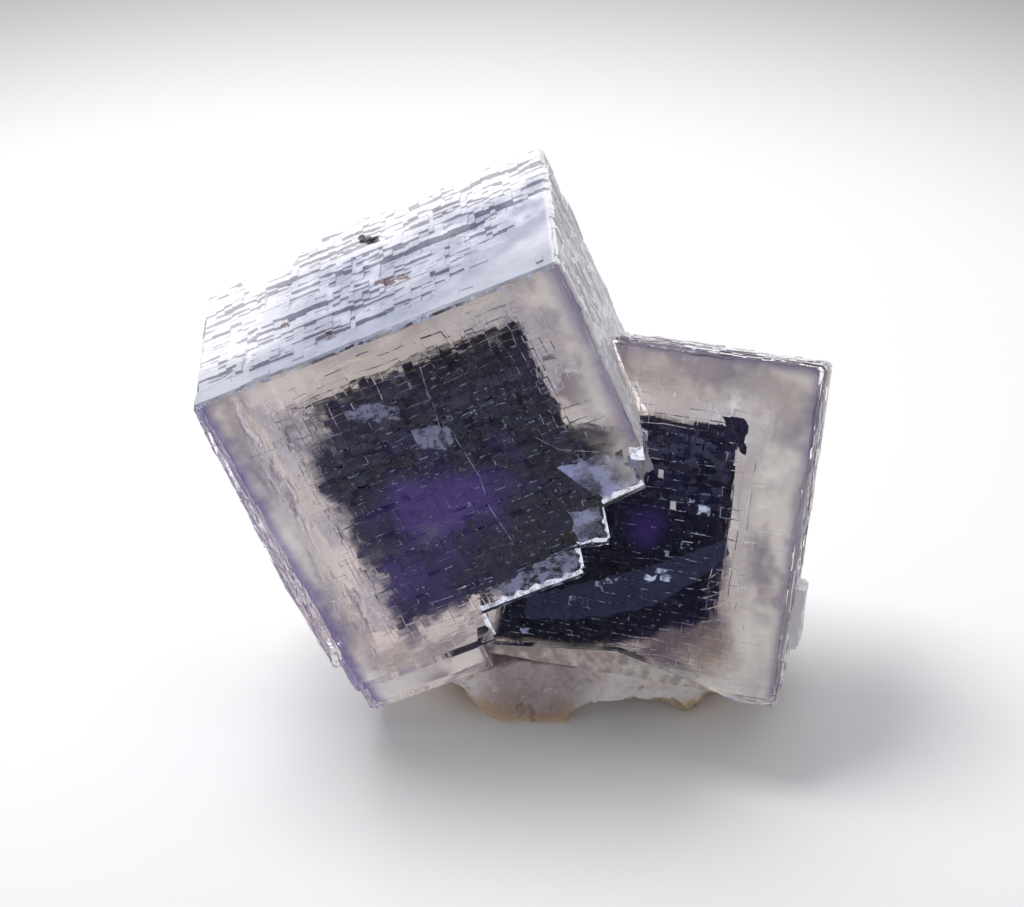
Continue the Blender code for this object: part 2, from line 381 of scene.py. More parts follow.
def under_shell():
    """A rounded corner post behind the shell break, which the small heart stays clear of."""
    reach = SHELL_REACH + 0.0006
    turns = [math.radians(angle) for angle in range(180, 271, 10)]
    arc = [(SHELL_CENTRE[0] + reach * math.cos(a), SHELL_CENTRE[1] + reach * math.sin(a)) for a in turns]
    return prism([*arc, SHELL_CENTRE], 0.0, SMALL_SIZE[1], 1, SMALL_MATRIX)


def kept_inside(bm):
    """Presses the few blocks that stand a little proud back into the CAD model's box."""
    for vert in bm.verts:
        for axis in range(3):
            low, high = cad_low[axis] + BOX_MARGIN, cad_high[axis] - BOX_MARGIN
            vert.co[axis] = min(max(vert.co[axis], low), high)
    return bm


def big_cutters(gap=0.0):
    """The big cube's ledges, heel and broken back, grown by a gap to keep what is inside away from them."""
    back_outline = [(x, y - gap) for x, y in RAGGED_BACK]
    return [
        prism([(x - gap, z + gap) for x, z in LEDGE_STEPS], -CLEAR, LEDGE_DEPTH + gap, 1, BIG_MATRIX),
        prism([(x + gap, z + gap) for x, z in HEEL], -CLEAR, HEEL_DEPTH + gap, 1, BIG_MATRIX),
        prism(back_outline, BIG_SIZE[2] - RAGGED_DROP - gap, BIG_SIZE[2] + CLEAR, 2, BIG_MATRIX),
    ]


def foot_cutter(depth=FOOT_BREAK_DEPTH, higher=0.0):
    """The break along the small cube's foot."""
    return prism([(x, z + higher) for x, z in FOOT_BREAK], -CLEAR, depth, 1, SMALL_MATRIX)


def clear_crystal(finish):
    """Both cubes with their ledges and breaks, grown together."""
    big = joined(big_cube(), big_cutters(), "DIFFERENCE")
    small = joined(small_cube(), [foot_cutter(), shell_break()], "DIFFERENCE")
    crystal = add_piece("clear_crystal", kept_inside(joined(big, [small], "UNION")), finish)
    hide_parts("fluorite_cubes")
    return crystal


# Growth zones inside: dark hearts and pale veils

FOOT_CLEAR_DEPTH = 0.0036  # the inside stays this deep behind the break along the foot


def big_block(gap):
    """The room that the big cube takes up, as a plain block."""
    bm = bmesh.new()
    bmesh.ops.create_cube(bm, size=1.0)
    for vert in bm.verts:
        vert.co = [(0.5 + vert.co[a]) * BIG_SIZE[a] + 2 * gap * vert.co[a] for a in range(3)]
    bm.transform(BIG_MATRIX)
    return bm


def growth_zone(name, low, high, block, rise, lean, matrix, seed, cutters, finish):
    """A stepped closed zone inside a cube, whose top and right side may lean away towards the back."""
    rng = np.random.default_rng(seed)
    size = [high[a] - low[a] for a in range(3)]
    lines = [block_lines(length, block, rng) for length in size]
    heights, tilts = level_faces(lines, rng, rise / 5)
    for face in heights:
        lay_plates(heights[face], rng, 140, (1, 6), (1, 4), rise, 3 * rise)
    bm = lattice_box(lines, heights, tilts)
    for vert in bm.verts:
        for axis, amount in zip((0, 2), lean):
            vert.co[axis] -= amount * vert.co.y * vert.co[axis] / size[axis]
        vert.co += Vector(low)
    bm.transform(matrix)
    piece = add_piece(name, joined(bm, cutters, "DIFFERENCE") if cutters else bm, finish)
    return piece


# Frost on the etched faces and on the steps of the clear ones

FILM_LIFT = 0.000012  # from the crystal to the film's outer side
FILM_THICK = 0.000010
BEHIND_FRONT = 0.0003  # what lies deeper than this is a break's wall, not the front face


def nearest_face(at, size):
    """The distance to the nearest of a cube's six sides, and which one it is."""
    return min((abs(at[axis] - (size[axis] if side else 0.0)), (axis, side))
               for axis in range(3) for side in (False, True))


def film(name, crystal, wanted, finish):
    """A thin closed film over the wanted faces of the crystal."""
    bm = bmesh.new()
    bm.from_mesh(crystal.data)
    frames = [(m.inverted(), size) for m, size in ((BIG_MATRIX, BIG_SIZE), (SMALL_MATRIX, SMALL_SIZE))]
    away = []
    for face in bm.faces:
        spot = face.calc_center_median()
        places = []
        for index, (back, size) in enumerate(frames):
            at = back @ spot
            near, side = nearest_face(at, size)
            outside = max(max(-at[a], at[a] - size[a]) for a in range(3))
            near += max(outside - 0.001, 0) * 10
            places.append((near, index, at, side, back.to_3x3() @ face.normal))
        if not wanted(*min(places, key=lambda place: place[0])[1:]):
            away.append(face)
    bmesh.ops.delete(bm, geom=away, context="FACES")
    bm.normal_update()
    for vert in bm.verts:
        vert.co += vert.normal * FILM_LIFT
    bmesh.ops.solidify(bm, geom=bm.faces, thickness=-FILM_THICK)
    piece = add_piece(name, bm, finish)
    return piece


def is_etched(cube, at, side, normal):
    """The tops, right sides and broken parts of both cubes."""
    if cube == BIG:
        on_back = at.z > BIG_SIZE[2] - 0.0075 and at.y > 0.0165 and side != LEFT
        on_ledge = BEHIND_FRONT < at.y < 0.0052 and at.x > 0.0125 and at.z < 0.0190
        on_heel = BEHIND_FRONT < at.y < 0.0022 and 0.0005 < at.x < 0.0140 and 0.0010 < at.z < 0.0042
        broken = on_back or ((on_ledge or on_heel) and abs(normal.y) < 0.3)
    else:
        on_foot = BEHIND_FRONT < at.y < 0.0034 and at.z < 0.0030 and at.x < 0.0240
        on_lump = at.x > SMALL_SIZE[0] - 0.0006 and at.y > 0.0080 and 0.0036 < at.z < 0.0104
        broken = on_foot or on_lump
    return broken or (side in (TOP, RIGHT) and normal.z > -0.6 and (cube == BIG or normal.y > -0.5))


def is_front_step(cube, at, side, normal):
    """The little walls between the blocks of the front faces, but none on the shell break."""
    from_shell = math.hypot(at.x - SHELL_CENTRE[0], at.z - SHELL_CENTRE[1])
    on_shell = cube == SMALL and from_shell < SHELL_REACH + 0.0006
    return side == FRONT and not on_shell and -0.97 < normal.y < -0.2 and abs(normal.x) < 0.35


# Light caught along the ledges, and pale plates, painted just under the front faces

def strip(points, width, rng):
    """A ragged strip along a line, between the line itself and a wandering edge above it."""
    points = [Vector(point) for point in points]
    spots, sides = [], []
    for start, stop in zip(points, points[1:]):
        steps = max(2, round((stop - start).length / 0.0005))
        side = Vector((start.y - stop.y, stop.x - start.x)).normalized()
        for step in range(steps + (stop is points[-1])):
            spots.append(start.lerp(stop, step / steps))
            sides.append(side)
    far = [spot + side * width * rng.uniform(0.35, 1.3) for spot, side in zip(spots, sides)]
    return spots + far[::-1]


def ragged(points, amount, rng):
    """The outline with its sides broken up."""
    made = []
    for start, stop in zip(points, [*points[1:], points[0]]):
        start, stop = Vector(start), Vector(stop)
        steps = max(2, round((stop - start).length / 0.0006))
        made += [start.lerp(stop, step / steps) + Vector(rng.normal(0, amount, 2)) for step in range(steps)]
    return made


def under_front(name, outlines, depth, matrix, finish):
    """Thin plates that lie at one depth under a cube's front face."""
    bm = bmesh.new()
    for index, outline in enumerate(outlines):
        start = depth + index * 0.00003
        part = prism([tuple(point) for point in outline], start, start + 0.00002, 1, matrix)
        mesh = bpy.data.meshes.new("part")
        part.to_mesh(mesh)
        part.free()
        bm.from_mesh(mesh)
        bpy.data.meshes.remove(mesh)
    piece = add_piece(name, bm, finish)
    return piece


def ledge_and_crack_light():
    """Painted light along the ledges of the big cube's front, where their walls reflect light inside the
    crystal, and the fine cracks across it, drawn as lines of painted light.
    """
    rng = np.random.default_rng(21)
    ledges = [
        [(0.0151, 0.0076), (0.0200, 0.0076), (0.0256, 0.0076)], [(0.0263, 0.0108), (0.0290, 0.0100)],
        [(0.0302, 0.0140), (0.0345, 0.0144)], [(0.0152, 0.0044), (0.0152, 0.0072)],
        [(0.0259, 0.0080), (0.0264, 0.0104)], [(0.0294, 0.0101), (0.0301, 0.0136)],
    ]
    lines = [
        [(0.0271, 0.0233), (0.0287, 0.0211), (0.0320, 0.0193)],
        [(0.0207, 0.0359), (0.0202, 0.0327), (0.0196, 0.0278)],
        [(0.0204, 0.0263), (0.0208, 0.0214), (0.0203, 0.0180), (0.0208, 0.0135), (0.0186, 0.0138)],
    ]
    widths = (0.0006, 0.0005, 0.0007, 0.0004, 0.0004, 0.0004)
    block = [(0.0347, 0.0188), (0.0358, 0.0182), (0.0355, 0.0168), (0.0343, 0.0174)]
    pale = [strip(line, width, rng) for line, width in zip(ledges, widths)] + [ragged(block, 0.00008, rng)]
    return pale, [strip(line, 0.00006, rng) for line in lines]


def pale_plates():
    """The plates behind the big cube's ledges, painted pale with the light that they catch, and the bluish
    sheens over its heart.
    """
    rng = np.random.default_rng(22)
    outlines = [
        [(0.0280, 0.0196), (0.0317, 0.0188), (0.0350, 0.0180), (0.0344, 0.0146), (0.0303, 0.0142)],
        [(0.0267, 0.0140), (0.0296, 0.0138), (0.0291, 0.0103), (0.0265, 0.0110)],
    ]
    sheens = [
        [(0.0166, 0.0092), (0.0221, 0.0104), (0.0264, 0.0104), (0.0254, 0.0077), (0.0160, 0.0077)],
        [(0.0125, 0.0331), (0.0150, 0.0327), (0.0171, 0.0314),
         (0.0167, 0.0302), (0.0142, 0.0309), (0.0121, 0.0316)],
        [(0.0173, 0.0284), (0.0204, 0.0275), (0.0198, 0.0256), (0.0168, 0.0265)],
    ]
    return [[ragged(outline, 0.00022, rng) for outline in group] for group in (outlines, sheens)]


def curved_band():
    """The smooth band that curves across the foot of the small cube's front, a painted sheen, with flecks
    and arcs by it painted as light that they catch.
    """
    rng = np.random.default_rng(23)
    band = [
        (0.0040, 0.0068), (0.0080, 0.0083), (0.0120, 0.0099), (0.0160, 0.0118), (0.0195, 0.0136),
        (0.0225, 0.0152), (0.0228, 0.0138), (0.0200, 0.0106), (0.0165, 0.0080), (0.0125, 0.0062),
        (0.0085, 0.0051), (0.0040, 0.0045),
    ]
    flecks = []
    for x, z in ((0.0166, 0.0112), (0.0172, 0.0106), (0.0158, 0.0104), (0.0186, 0.0183), (0.0200, 0.0177)):
        side = rng.uniform(0.0003, 0.0006)
        flecks.append(ragged([(x - side, z - side / 2), (x + side, z - side / 2), (x + side, z + side / 2),
                              (x - side, z + side / 2)], 0.0001, rng))
    arcs = []
    for radius in (0.0030, 0.0039, 0.0047, 0.0058, 0.0070):
        angles = np.radians(np.arange(-78, -8 - rng.uniform(0, 14), 9))
        line = [(0.0197 + radius * math.cos(a), 0.0138 + radius * math.sin(a)) for a in angles]
        arcs.append(strip(line, 0.00009, rng))
    return [ragged(band, 0.0001, rng)], flecks, arcs


# Stone

def matrix_stone(finish):
    """The stone's own form, closed up again and broken into a fine rough surface."""
    bm = bmesh.new()
    bm.from_mesh(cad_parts["matrix_base"].data)
    bmesh.ops.remove_doubles(bm, verts=bm.verts, dist=1e-6)
    stone = add_piece("matrix_stone", bm, None)
    remesh = stone.modifiers.new("even", "REMESH")
    remesh.mode = "VOXEL"
    remesh.voxel_size = 0.00022
    fine = bmesh.new()
    fine.from_mesh(with_modifiers(stone))
    bpy.data.objects.remove(stone)
    for vert in fine.verts:
        spot = vert.co
        if spot.z < 0.00015:
            continue
        coarse = abs(noise.noise(spot * 330)) * 0.00045 + abs(noise.noise(spot * 1100)) * 0.00022
        cells = noise.cell(spot * 1100 + noise.noise_vector(spot * 700) * 2) * 0.00010
        vert.co = spot - vert.normal * (cells + coarse)
    stone = add_piece("matrix_stone", fine, finish)
    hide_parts("matrix_base")
    return stone


# Finishes

def new_finish(name):
    """A new finish, its node tree and its main shader."""
    made = bpy.data.materials.new(name)
    made.use_nodes = True
    made.use_transparent_shadow = False  # the crystal round them stops the straight light anyway
    tree = made.node_tree
    return made, tree, tree.nodes["Principled BSDF"]


def feed(tree, node, inputs):
    """Sets a node's inputs, each to a plain value or to the socket that feeds it."""
    for name, value in inputs.items():
        if isinstance(value, bpy.types.NodeSocket):
            tree.links.new(value, node.inputs[name])
        else:
            node.inputs[name].default_value = value


def add_node(tree, kind, inputs=None, **settings):
    """A node with its settings and its inputs."""
    node = tree.nodes.new(kind)
    for name, value in settings.items():
        setattr(node, name, value)
    feed(tree, node, inputs or {})
    return node


def object_place(tree):
    """The place in the specimen, which is the same for every piece."""
    return add_node(tree, "ShaderNodeTexCoord").outputs["Object"]


def cube_place(tree, corner, turn_deg):
    """The place along a cube's own edges, from its lower front left corner."""
    turn = [math.radians(angle) for angle in turn_deg]
    inputs = {"Vector": object_place(tree), "Location": corner, "Rotation": turn}
    return add_node(tree, "ShaderNodeMapping", inputs, vector_type="TEXTURE").outputs["Vector"]


def noise_value(tree, place, scale, detail=3.0, roughness=0.5):
    return add_node(tree, "ShaderNodeTexNoise", {"Vector": place, "Scale": scale, "Detail": detail,
                                                 "Roughness": roughness}).outputs["Fac"]


def white_noise(tree, place, cell):
    """One random value for each cell of a grid."""
    cells = vector_maths(tree, "SNAP", place, cell)
    return add_node(tree, "ShaderNodeTexWhiteNoise", {"Vector": cells}).outputs["Value"]


def maths(tree, operation, first, second=0.0):
    return add_node(tree, "ShaderNodeMath", {0: first, 1: second}, operation=operation).outputs[0]


def vector_maths(tree, operation, first, second):
    output = "Value" if operation == "DISTANCE" else "Vector"
    return add_node(tree, "ShaderNodeVectorMath", {0: first, 1: second}, operation=operation).outputs[output]


def split(tree, vector):
    """A vector's three parts."""
    return add_node(tree, "ShaderNodeSeparateXYZ", {"Vector": vector}).outputs


def random_shade(tree, cells):
    """One random value for each cell of a Voronoi texture."""
    return add_node(tree, "ShaderNodeSeparateColor", {"Color": cells.outputs["Color"]}).outputs[0]


def spread(tree, value, amount):
    """A pattern around one half, turned into a shift by up to half the amount to either side."""
    return maths(tree, "MULTIPLY", maths(tree, "SUBTRACT", value, 0.5), amount)


def ramp(tree, value, low, high, out_low=0.0, out_high=1.0):
    return add_node(tree, "ShaderNodeMapRange", {"Value": value, "From Min": low, "From Max": high,
                                                 "To Min": out_low, "To Max": out_high},
                    interpolation_type="SMOOTHSTEP").outputs["Result"]


def blend(tree, share, first, second):
    """Two colours mixed; each is a plain colour or the socket that feeds it."""
    first, second = ((*c, 1.0) if isinstance(c, tuple) else c for c in (first, second))
    return add_node(tree, "ShaderNodeMix", {0: share, 6: first, 7: second}, data_type="RGBA").outputs[2]


# Effects that several finishes share, each a node group that is built once

NUMBER, VECTOR = "NodeSocketFloat", "NodeSocketVector"


def new_group(name, inputs, output):
    """A node group with named inputs and one named output, and the sockets that its inputs come in by."""
    group = bpy.data.node_groups.new(name, "ShaderNodeTree")
    for socket, kind in inputs.items():
        group.interface.new_socket(name=socket, in_out="INPUT", socket_type=kind)
    group.interface.new_socket(name=output, in_out="OUTPUT", socket_type=NUMBER)
    return group, add_node(group, "NodeGroupInput").outputs


def close_group(group, value):
    group.links.new(value, add_node(group, "NodeGroupOutput").inputs[0])
    return group


def ragged_cover():
    """A cover that breaks up in patches, from its least to its most."""
    group, given = new_group("ragged cover", {
        "Place": VECTOR, "Scale": NUMBER, "Detail": NUMBER, "Roughness": NUMBER,
        "Start": NUMBER, "Stop": NUMBER, "Least": NUMBER, "Most": NUMBER}, "Cover")
    pattern = noise_value(group, given["Place"], given["Scale"], given["Detail"], given["Roughness"])
    cover = ramp(group, pattern, given["Start"], given["Stop"], given["Least"], given["Most"])
    return close_group(group, cover)


def growth_blocks():
    """Growth blocks too small to model, each with its own height; a higher power leaves fewer tall ones."""
    group, given = new_group("growth blocks", {
        "Place": VECTOR, "Stretch": VECTOR, "Scale": NUMBER, "Power": NUMBER}, "Height")
    place = vector_maths(group, "MULTIPLY", given["Place"], given["Stretch"])
    cells = add_node(group, "ShaderNodeTexVoronoi", {"Vector": place, "Scale": given["Scale"]},
                     distance="CHEBYCHEV")
    return close_group(group, maths(group, "POWER", random_shade(group, cells), given["Power"]))


def soft_spot():
    """A spot with a full core, whose edge fades out and wanders with a pattern."""
    group, given = new_group("soft spot", {
        "Place": VECTOR, "Spot": VECTOR, "Size": NUMBER, "Core": NUMBER,
        "Raggedness": NUMBER, "Pattern": NUMBER, "Strength": NUMBER}, "Share")
    away = vector_maths(group, "DISTANCE", given["Place"], given["Spot"])
    shift = spread(group, given["Pattern"], maths(group, "MULTIPLY", given["Size"], given["Raggedness"]))
    core = maths(group, "MULTIPLY", given["Size"], given["Core"])
    share = ramp(group, maths(group, "ADD", away, shift), core, given["Size"], given["Strength"], 0.0)
    return close_group(group, share)


def effect(tree, group, **inputs):
    """A group placed in a finish with its own values."""
    return add_node(tree, "ShaderNodeGroup", {name.capitalize(): value for name, value in inputs.items()},
                    node_tree=group).outputs[0]


RAGGED_COVER, GROWTH_BLOCKS, SOFT_SPOT = ragged_cover(), growth_blocks(), soft_spot()


# The finishes

def clear_finish():
    """Clear crystal; its finest blocks, over the big heart only, and slight waves bend what is behind."""
    made, tree, shader = new_finish("clear fluorite")
    feed(tree, shader, {"Base Color": (1.0, 0.99, 1.0, 1), "Roughness": 0.03, "IOR": FLUORITE_IOR,
                        "Transmission Weight": 1.0})
    cube = cube_place(tree, BIG_CORNER, BIG_TURN_DEG)
    blocks = effect(tree, GROWTH_BLOCKS, place=cube, stretch=(1.0, 1.0, 1.6), scale=1700.0, power=3.0)
    from_heart = vector_maths(tree, "DISTANCE", cube, (0.0225, 0.0, 0.0190))
    blocks = maths(tree, "MULTIPLY", blocks, ramp(tree, from_heart, 0.0175, 0.0130))
    waves = noise_value(tree, object_place(tree), 700, 0.0)
    height = maths(tree, "ADD", maths(tree, "MULTIPLY", waves, 0.4), blocks)
    bump = add_node(tree, "ShaderNodeBump", {"Height": height, "Strength": 0.25, "Distance": 0.00010})
    feed(tree, shader, {"Normal": bump.outputs["Normal"]})
    tint = {"Color": (0.60, 0.35, 0.50, 1), "Density": 5.0}
    absorption = add_node(tree, "ShaderNodeVolumeAbsorption", tint)
    tree.links.new(absorption.outputs["Volume"], tree.nodes["Material Output"].inputs["Volume"])
    return made


def inside_by(tree, place, low, high, top_softness, foot_slope, hollow):
    """How far inside a heart a place is, seen from its front.

    Its top fades slowly, its foot may slope up, and it may keep a distance from the shell break.
    """
    right_along, _, up_along = split(tree, place)
    left = maths(tree, "SUBTRACT", right_along, low[0])
    right = maths(tree, "SUBTRACT", high[0], right_along)
    past_slope_start = maths(tree, "MAXIMUM", maths(tree, "SUBTRACT", right_along, 0.0100), 0.0)
    slope = maths(tree, "MULTIPLY", past_slope_start, foot_slope)
    below = maths(tree, "SUBTRACT", maths(tree, "SUBTRACT", up_along, low[2]), slope)
    above = maths(tree, "DIVIDE", maths(tree, "SUBTRACT", high[2], up_along), top_softness)
    across = maths(tree, "MINIMUM", left, right)
    inside = maths(tree, "MINIMUM", across, maths(tree, "MINIMUM", below, above))
    if hollow:
        flat = add_node(tree, "ShaderNodeCombineXYZ", {"X": right_along, "Z": up_along}).outputs["Vector"]
        away = vector_maths(tree, "DISTANCE", flat, (SHELL_CENTRE[0], 0.0, SHELL_CENTRE[1]))
        inside = maths(tree, "MINIMUM", inside, maths(tree, "SUBTRACT", away, hollow))
    return inside


def heart_finish(name, corner, turn_deg, low, high, feather, top_softness, foot_slope, hollow, glows):
    """Near-black navy with ragged soft edges, pale dots as painted glints, blocks with a painted sheen
    towards its top, and painted violet glows.
    """
    made, tree, shader = new_finish(name)
    place = cube_place(tree, corner, turn_deg)
    speckle = white_noise(tree, place, (0.0009, 0.0009, 0.0007))
    soft = noise_value(tree, place, 330)
    inside = inside_by(tree, place, low, high, top_softness, foot_slope, hollow)
    edge = maths(tree, "ADD", inside, spread(tree, speckle, feather * 0.35))
    edge = maths(tree, "ADD", edge, spread(tree, soft, feather * 2.0))
    feed(tree, shader, {"Alpha": ramp(tree, edge, 0.0, feather)})
    colour = blend(tree, maths(tree, "MULTIPLY", speckle, 0.5), (0.003, 0.003, 0.032), (0.011, 0.010, 0.082))
    # Pale dots: painted glints, specks where the blocks catch the light
    glint_dots = white_noise(tree, place, (0.00020, 0.00020, 0.00014))
    colour = blend(tree, ramp(tree, glint_dots, 0.985, 0.996), colour, (0.45, 0.45, 0.62))
    # Towards the top the blocks turn paler: a painted sheen, standing in for the bright surroundings that
    # the face reflects
    blocks = effect(tree, GROWTH_BLOCKS, place=place, stretch=(1.0, 1.0, 1.5), scale=1250.0, power=2.0)
    middle = low[2] + (high[2] - low[2]) * 0.50
    painted_sheen = ramp(tree, split(tree, place)[2], middle, high[2], 0.18, 1.0)
    colour = blend(tree, maths(tree, "MULTIPLY", painted_sheen, blocks), colour, (0.200, 0.205, 0.370))
    fringe = ramp(tree, inside, feather * 1.5, 0.0, 0.0, 0.9)
    colour = blend(tree, fringe, colour, (0.090, 0.065, 0.190))
    wander = noise_value(tree, place, 210, 2.0)
    for spot, size, strength, tone in glows:
        share = effect(tree, SOFT_SPOT, place=place, spot=spot, size=size, core=0.1, raggedness=1.5,
                       pattern=wander, strength=strength)
        colour = blend(tree, share, colour, tone)
    feed(tree, shader, {"Base Color": colour, "Roughness": 0.5, "Specular IOR Level": 0.0})
    return made


def from_box(tree, parts, low, high):
    """The distance of a place from a box."""
    total = None
    for axis in range(3):
        middle, half = (low[axis] + high[axis]) / 2, (high[axis] - low[axis]) / 2
        off = maths(tree, "ABSOLUTE", maths(tree, "SUBTRACT", parts[axis], middle))
        over = maths(tree, "MAXIMUM", maths(tree, "SUBTRACT", off, half), 0.0)
        square = maths(tree, "MULTIPLY", over, over)
        total = square if total is None else maths(tree, "ADD", total, square)
    return maths(tree, "SQRT", total)


def veil_finish(name, corner, turn_deg, low, high, cover, glow, clear_near, stains, painted_light_spots):
    """Cloudy beige that glows a little as painted light, clear in front of the heart, painted brighter in
    spots, with a violet stain along some sides.
    """
    made, tree, shader = new_finish(name)
    place = cube_place(tree, corner, turn_deg)
    parts = split(tree, place)
    away = from_box(tree, parts, low, high)
    cloud = noise_value(tree, place, 150, 3.0, 0.6)
    away = maths(tree, "ADD", away, spread(tree, cloud, 0.0030))
    density = ramp(tree, cloud, 0.30, 0.66, 0.72, 1.0)
    alpha = maths(tree, "MULTIPLY", ramp(tree, away, *clear_near, 0.0, cover), density)
    colour = blend(tree, ramp(tree, cloud, 0.41, 0.58), (0.32, 0.27, 0.34), (0.94, 0.88, 0.83))
    warm = ramp(tree, noise_value(tree, place, 95, 0.0), 0.50, 0.62, 0.0, 0.5)
    colour = blend(tree, warm, colour, (0.86, 0.78, 0.66))
    # Painted light: the cloud is painted whiter in these spots, so they glow the more
    for spot, size, strength in painted_light_spots:
        share = effect(tree, SOFT_SPOT, place=place, spot=spot, size=size, core=0.3, raggedness=1.0,
                       pattern=cloud, strength=strength)
        colour = blend(tree, share, colour, (1.0, 0.97, 0.92))
    near_front = ramp(tree, parts[1], 0.0190, 0.0040, 0.05, 1.0)
    for axis, start, stop, strength in stains:
        wander = maths(tree, "ADD", parts[axis], spread(tree, cloud, abs(stop - start)))
        share = maths(tree, "MULTIPLY", ramp(tree, wander, start, stop, strength, 0.0), near_front)
        colour = blend(tree, share, colour, (0.12, 0.085, 0.34))
        alpha = maths(tree, "MAXIMUM", alpha, maths(tree, "MULTIPLY", share, 0.75))
    # The veil glows with its own colour: painted light standing in for the light that comes through the
    # crystal onto it
    feed(tree, shader, {"Base Color": colour, "Alpha": alpha, "Emission Color": colour,
                        "Emission Strength": glow, "Roughness": 0.9, "Specular IOR Level": 0.0})
    return made


# Dark, brownish and ochre spots on the big cube's top where it has pits: where, how large, and their colour
PITS = (
    ((0.0171, 0.0205, 0.0392), 0.0010, (0.03, 0.02, 0.03)),
    ((0.0183, 0.0200, 0.0392), 0.0007, (0.05, 0.03, 0.04)),
    ((0.0192, 0.0098, 0.0392), 0.0010, (0.16, 0.09, 0.10)),
    ((0.0208, 0.0100, 0.0392), 0.0007, (0.20, 0.12, 0.12)),
    ((0.0137, 0.0036, 0.0392), 0.0006, (0.22, 0.13, 0.13)),
    ((0.0090, 0.0090, 0.0392), 0.0006, (0.20, 0.13, 0.13)),
    ((0.0052, 0.0195, 0.0350), 0.0016, (0.62, 0.48, 0.22)),
    ((0.0100, 0.0222, 0.0385), 0.0010, (0.66, 0.52, 0.28)),
)


def frost_finish():
    """Frosted lilac grey, painted whiter with light to the left, at the back and on the right side, painted
    grey-blue with shade along the front of the top, smooth at the front right, pinkish at the foot.
    """
    made, tree, shader = new_finish("frosted faces")
    place = object_place(tree)
    cube = cube_place(tree, BIG_CORNER, BIG_TURN_DEG)
    right_along, back_along, _ = split(tree, cube)
    tone = noise_value(tree, place, 260, 3.0, 0.6)
    colour = blend(tree, ramp(tree, tone, 0.35, 0.7), (0.42, 0.43, 0.55), (0.74, 0.73, 0.83))
    wander = spread(tree, tone, 0.012)
    # Painted light: whiter towards the left and the back
    painted_light_left = ramp(tree, maths(tree, "ADD", right_along, wander), 0.0120, 0.0040)
    colour = blend(tree, painted_light_left, colour, (0.95, 0.94, 0.99))
    painted_light_back = ramp(tree, maths(tree, "ADD", back_along, wander), 0.0130, 0.0220)
    colour = blend(tree, painted_light_back, colour, (0.94, 0.93, 0.97))
    smooth = maths(tree, "SUBTRACT", right_along, maths(tree, "MULTIPLY", back_along, 2.0))
    smooth = ramp(tree, smooth, 0.0160, 0.0260)
    colour = blend(tree, smooth, colour, (0.86, 0.85, 0.90))
    # Painted shade: grey-blue along the front of the top
    colour = blend(tree, ramp(tree, back_along, 0.0085, 0.0025, 0.0, 0.7), colour, (0.34, 0.36, 0.46))
    # Painted light: the right side lighter
    colour = blend(tree, ramp(tree, right_along, 0.0352, 0.0358), colour, (0.88, 0.86, 0.90))
    crumbs = noise_value(tree, place, 900, 2.0)
    crumbly = blend(tree, ramp(tree, crumbs, 0.35, 0.65), (0.54, 0.44, 0.44), (0.95, 0.87, 0.83))
    from_foot = vector_maths(tree, "DISTANCE", place, (0.0080, -0.0100, 0.0070))
    colour = blend(tree, ramp(tree, from_foot, 0.0130, 0.0105), colour, crumbly)
    for spot, size, stain in PITS:
        share = effect(tree, SOFT_SPOT, place=cube, spot=spot, size=size, core=0.7, raggedness=3.0,
                       pattern=crumbs, strength=0.9)
        colour = blend(tree, share, colour, stain)
    feed(tree, shader, {"Base Color": colour})
    stretched = vector_maths(tree, "MULTIPLY", cube, (0.55, 1.0, 1.0))
    shingles = add_node(tree, "ShaderNodeTexVoronoi", {"Vector": stretched, "Scale": 1500.0})
    broken = maths(tree, "MULTIPLY", random_shade(tree, shingles), maths(tree, "SUBTRACT", 1.0, smooth))
    grain = maths(tree, "ADD", maths(tree, "MULTIPLY", noise_value(tree, place, 1300, 2.0), 0.8), broken)
    bump = add_node(tree, "ShaderNodeBump", {"Height": grain, "Strength": 0.7, "Distance": 0.00022})
    feed(tree, shader, {"Normal": bump.outputs["Normal"], "Roughness": 0.30, "IOR": FLUORITE_IOR})
    cover = effect(tree, RAGGED_COVER, place=place, scale=420.0, detail=4.0, roughness=0.5,
                   start=0.30, stop=0.62, least=0.86, most=0.98)
    feed(tree, shader, {"Alpha": cover})
    return made


def step_glint_finish():
    # Bluish white in ragged patches on the front steps' little walls: painted highlights, where the steps
    # catch the light
    made, tree, shader = new_finish("painted glints on step edges")
    feed(tree, shader, {"Base Color": (0.50, 0.55, 0.80, 1), "Roughness": 0.4})
    cover = effect(tree, RAGGED_COVER, place=object_place(tree), scale=1300.0, detail=4.0, roughness=0.65,
                   start=0.50, stop=0.62, least=0.0, most=0.75)
    feed(tree, shader, {"Alpha": cover})
    return made


def caught_light_finish(name, tone, least, most, glow, scale=1100.0):
    """Light caught on a plane inside the crystal, in ragged patches with a little glow of their own."""
    made, tree, shader = new_finish(name)
    cover = effect(tree, RAGGED_COVER, place=object_place(tree), scale=scale, detail=4.0, roughness=0.65,
                   start=0.38, stop=0.60, least=least, most=most)
    feed(tree, shader, {"Alpha": cover, "Base Color": (*tone, 1), "Emission Color": (*tone, 1),
                        "Emission Strength": glow, "Roughness": 0.6, "Specular IOR Level": 0.0})
    return made


